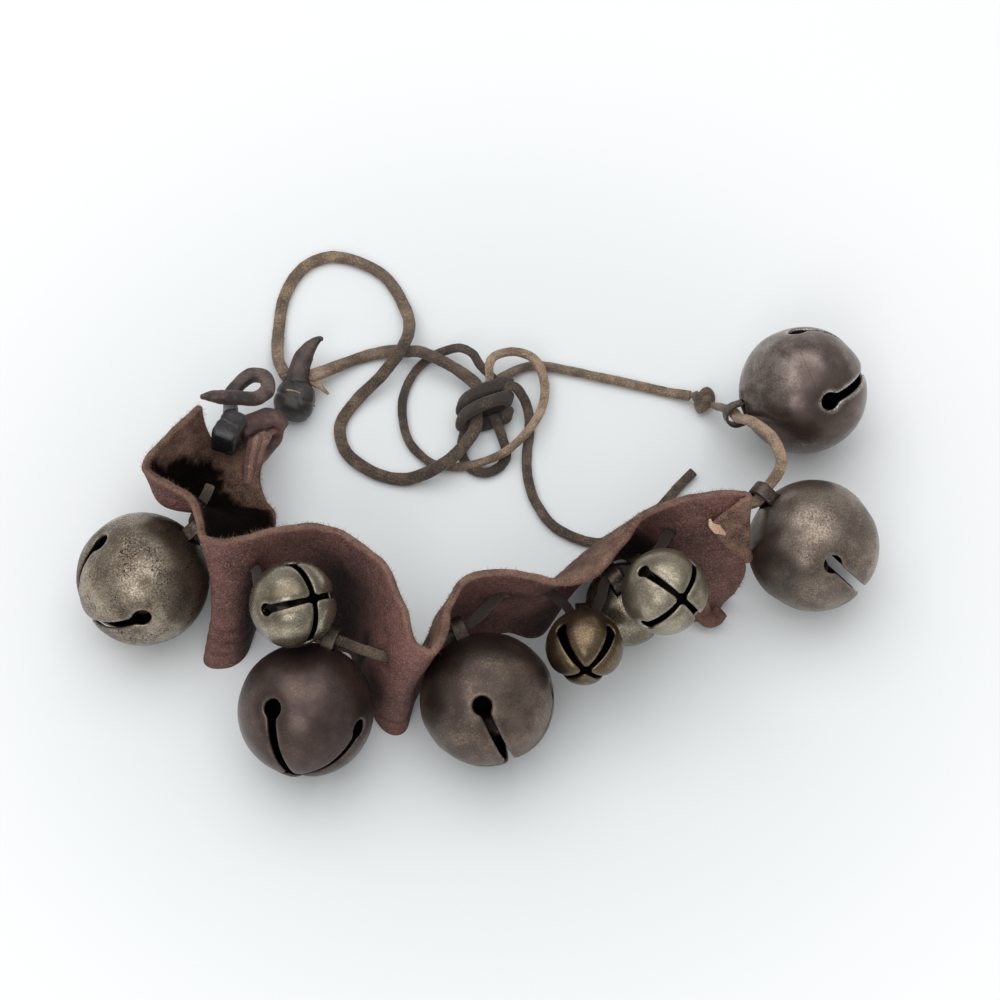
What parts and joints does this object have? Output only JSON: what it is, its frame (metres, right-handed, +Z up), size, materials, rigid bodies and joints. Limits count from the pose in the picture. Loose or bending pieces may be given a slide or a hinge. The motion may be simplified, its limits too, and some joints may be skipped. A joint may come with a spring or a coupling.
{
  "type": "leather ankle strap with bells",
  "caption": "Leather ankle strap standing on edge, gathered into folds on a suede lace that carries round slotted bells, with a knotted thong and toggle at one end.",
  "frame": {"origin": "on the table, under the middle of the strap, the bells and the thong", "axes": "+X along the strap from the thong end to the lace end, -Y to the side where the bells hang, +Z up"},
  "size_m": [0.1714, 0.1338, 0.0416],
  "materials": {
    "bell_brown": "dark brown patina with worn rims",
    "bell_silver": "worn silver plate speckled over brown",
    "small_silver": "dull silver plate",
    "small_brass": "dull brassy",
    "shank_metal": "tarnished strip",
    "pellet_steel": "dull steel",
    "strap_leather": "reddish brown grain outside, fuzzy flesh side inside",
    "suede": "brown suede lace",
    "dark_leather": "dark waxy leather"
  },
  "bodies": {
    "strap": {"strap": "strap_leather", "strap_lace": "suede", "thong_loop": "dark_leather", "thong_hitch": "dark_leather", "thong_knot": "dark_leather", "toggle_knot": "dark_leather", "toggle_tip": "dark_leather", "lace_bell_run": "suede", "lace_knot": "suede", "lace_long_run": "suede", "lace_slip_knot": "suede", "lace_toggle_run": "suede", "lace_big_loop": "suede", "lace_ring_loop": "suede", "lace_tail": "suede"},
    "bell_1": {"bell_1_crown_half": "bell_silver", "bell_1_mouth_half": "bell_silver", "bell_1_shank": "shank_metal"},
    "bell_2": {"bell_2_crown_half": "bell_brown", "bell_2_mouth_half": "bell_brown", "bell_2_shank": "shank_metal"},
    "bell_3": {"bell_3_crown_half": "bell_brown", "bell_3_mouth_half": "bell_brown", "bell_3_shank": "shank_metal"},
    "bell_4": {"bell_4_crown_half": "bell_brown", "bell_4_mouth_half": "bell_brown", "bell_4_shank": "shank_metal"},
    "bell_5": {"bell_5_crown_half": "bell_silver", "bell_5_mouth_half": "bell_silver", "bell_5_shank": "shank_metal"},
    "bell_6": {"bell_6_shell": "small_silver", "bell_6_shank": "shank_metal"},
    "bell_7": {"bell_7_shell": "small_brass", "bell_7_shank": "shank_metal"},
    "bell_8": {"bell_8_shell": "small_silver", "bell_8_shank": "shank_metal"},
    "bell_9": {"bell_9_shell": "small_silver", "bell_9_shank": "shank_metal"},
    "bell_1_pellet": {"bell_1_pellet": "pellet_steel"},
    "bell_2_pellet": {"bell_2_pellet": "pellet_steel"},
    "bell_3_pellet": {"bell_3_pellet": "pellet_steel"},
    "bell_4_pellet": {"bell_4_pellet": "pellet_steel"},
    "bell_5_pellet": {"bell_5_pellet": "pellet_steel"},
    "bell_6_pellet": {"bell_6_pellet": "pellet_steel"},
    "bell_7_pellet": {"bell_7_pellet": "pellet_steel"},
    "bell_8_pellet": {"bell_8_pellet": "pellet_steel"},
    "bell_9_pellet": {"bell_9_pellet": "pellet_steel"}
  },
  "joints": [
    {"name": "bell_1_swing", "type": "hinge", "parent": "strap", "child": "bell_1", "pos_m": [-0.05943, -0.00106, 0.02102], "axis": [-0.566, 0.8243, 0.0157], "range_deg": [0, 42]},
    {"name": "bell_2_swing", "type": "hinge", "parent": "strap", "child": "bell_2", "pos_m": [-0.03043, -0.02596, 0.02112], "axis": [-0.9241, 0.3812, -0.0253], "range_deg": [0, 8]},
    {"name": "bell_3_swing", "type": "hinge", "parent": "strap", "child": "bell_3", "pos_m": [-0.00443, -0.02366, 0.02032], "axis": [-0.9021, -0.4313, 0.0126], "range_deg": [0, 14]},
    {"name": "bell_4_swing", "type": "hinge", "parent": "strap", "child": "bell_4", "pos_m": [0.05627, 0.03144, 0.01282], "axis": [0.1937, -0.7303, 0.6551], "range_deg": [0, 60]},
    {"name": "bell_5_swing", "type": "hinge", "parent": "strap", "child": "bell_5", "pos_m": [0.06027, 0.00714, 0.02192], "axis": [-0.6069, -0.7947, -0.0106], "range_deg": [0, 60]},
    {"name": "bell_6_swing", "type": "hinge", "parent": "strap", "child": "bell_6", "pos_m": [-0.0433, -0.02027, 0.0231], "axis": [-0.6037, 0.5711, 0.5562], "range_deg": [0, 30]},
    {"name": "bell_7_swing", "type": "hinge", "parent": "strap", "child": "bell_7", "pos_m": [0.0219, -0.01866, 0.01679], "axis": [-0.9966, -0.0417, -0.071], "range_deg": [0, 25]},
    {"name": "bell_8_swing", "type": "hinge", "parent": "strap", "child": "bell_8", "pos_m": [0.03347, -0.00974, 0.02175], "axis": [-0.843, -0.537, -0.0318], "range_deg": [0, 25]},
    {"name": "bell_9_swing", "type": "hinge", "parent": "strap", "child": "bell_9", "pos_m": [0.02837, -0.01126, 0.02022], "axis": [0.837, 0.515, 0.1849], "range_deg": [0, 15]},
    {"name": "bell_1_pellet_roll", "type": "hinge", "parent": "bell_1", "child": "bell_1_pellet", "pos_m": [-0.07146, -0.00919, 0.01429], "axis": [-0.566, 0.8243, 0.0157], "range_deg": [-20, 120]},
    {"name": "bell_2_pellet_roll", "type": "hinge", "parent": "bell_2", "child": "bell_2_pellet", "pos_m": [-0.03581, -0.03944, 0.01438], "axis": [-0.9241, 0.3812, -0.0253], "range_deg": [-20, 120]},
    {"name": "bell_3_pellet_roll", "type": "hinge", "parent": "bell_3", "child": "bell_3_pellet", "pos_m": [0.0019, -0.03707, 0.01431], "axis": [-0.9021, -0.4313, 0.0126], "range_deg": [-18, 120]},
    {"name": "bell_4_pellet_roll", "type": "hinge", "parent": "bell_4", "child": "bell_4_pellet", "pos_m": [0.07127, 0.03679, 0.01434], "axis": [0.1937, -0.7303, 0.6551], "range_deg": [-90, 90]},
    {"name": "bell_5_pellet_roll", "type": "hinge", "parent": "bell_5", "child": "bell_5_pellet", "pos_m": [0.07148, -0.00132, 0.01426], "axis": [-0.6069, -0.7947, -0.0106], "range_deg": [-22, 120]},
    {"name": "bell_6_pellet_roll", "type": "hinge", "parent": "bell_6", "child": "bell_6_pellet", "pos_m": [-0.03774, -0.02328, 0.03223], "axis": [-0.6037, 0.5711, 0.5562], "range_deg": [-90, 90]},
    {"name": "bell_7_pellet_roll", "type": "hinge", "parent": "bell_7", "child": "bell_7_pellet", "pos_m": [0.022, -0.02783, 0.02078], "axis": [-0.9966, -0.0417, -0.071], "range_deg": [-8, 120]},
    {"name": "bell_8_pellet_roll", "type": "hinge", "parent": "bell_8", "child": "bell_8_pellet", "pos_m": [0.03859, -0.01809, 0.02698], "axis": [-0.843, -0.537, -0.0318], "range_deg": [-10, 120]},
    {"name": "bell_9_pellet_roll", "type": "hinge", "parent": "bell_9", "child": "bell_9_pellet", "pos_m": [0.0317, -0.01293, 0.00977], "axis": [0.837, 0.515, 0.1849], "range_deg": [-100, 100]}
  ]
}
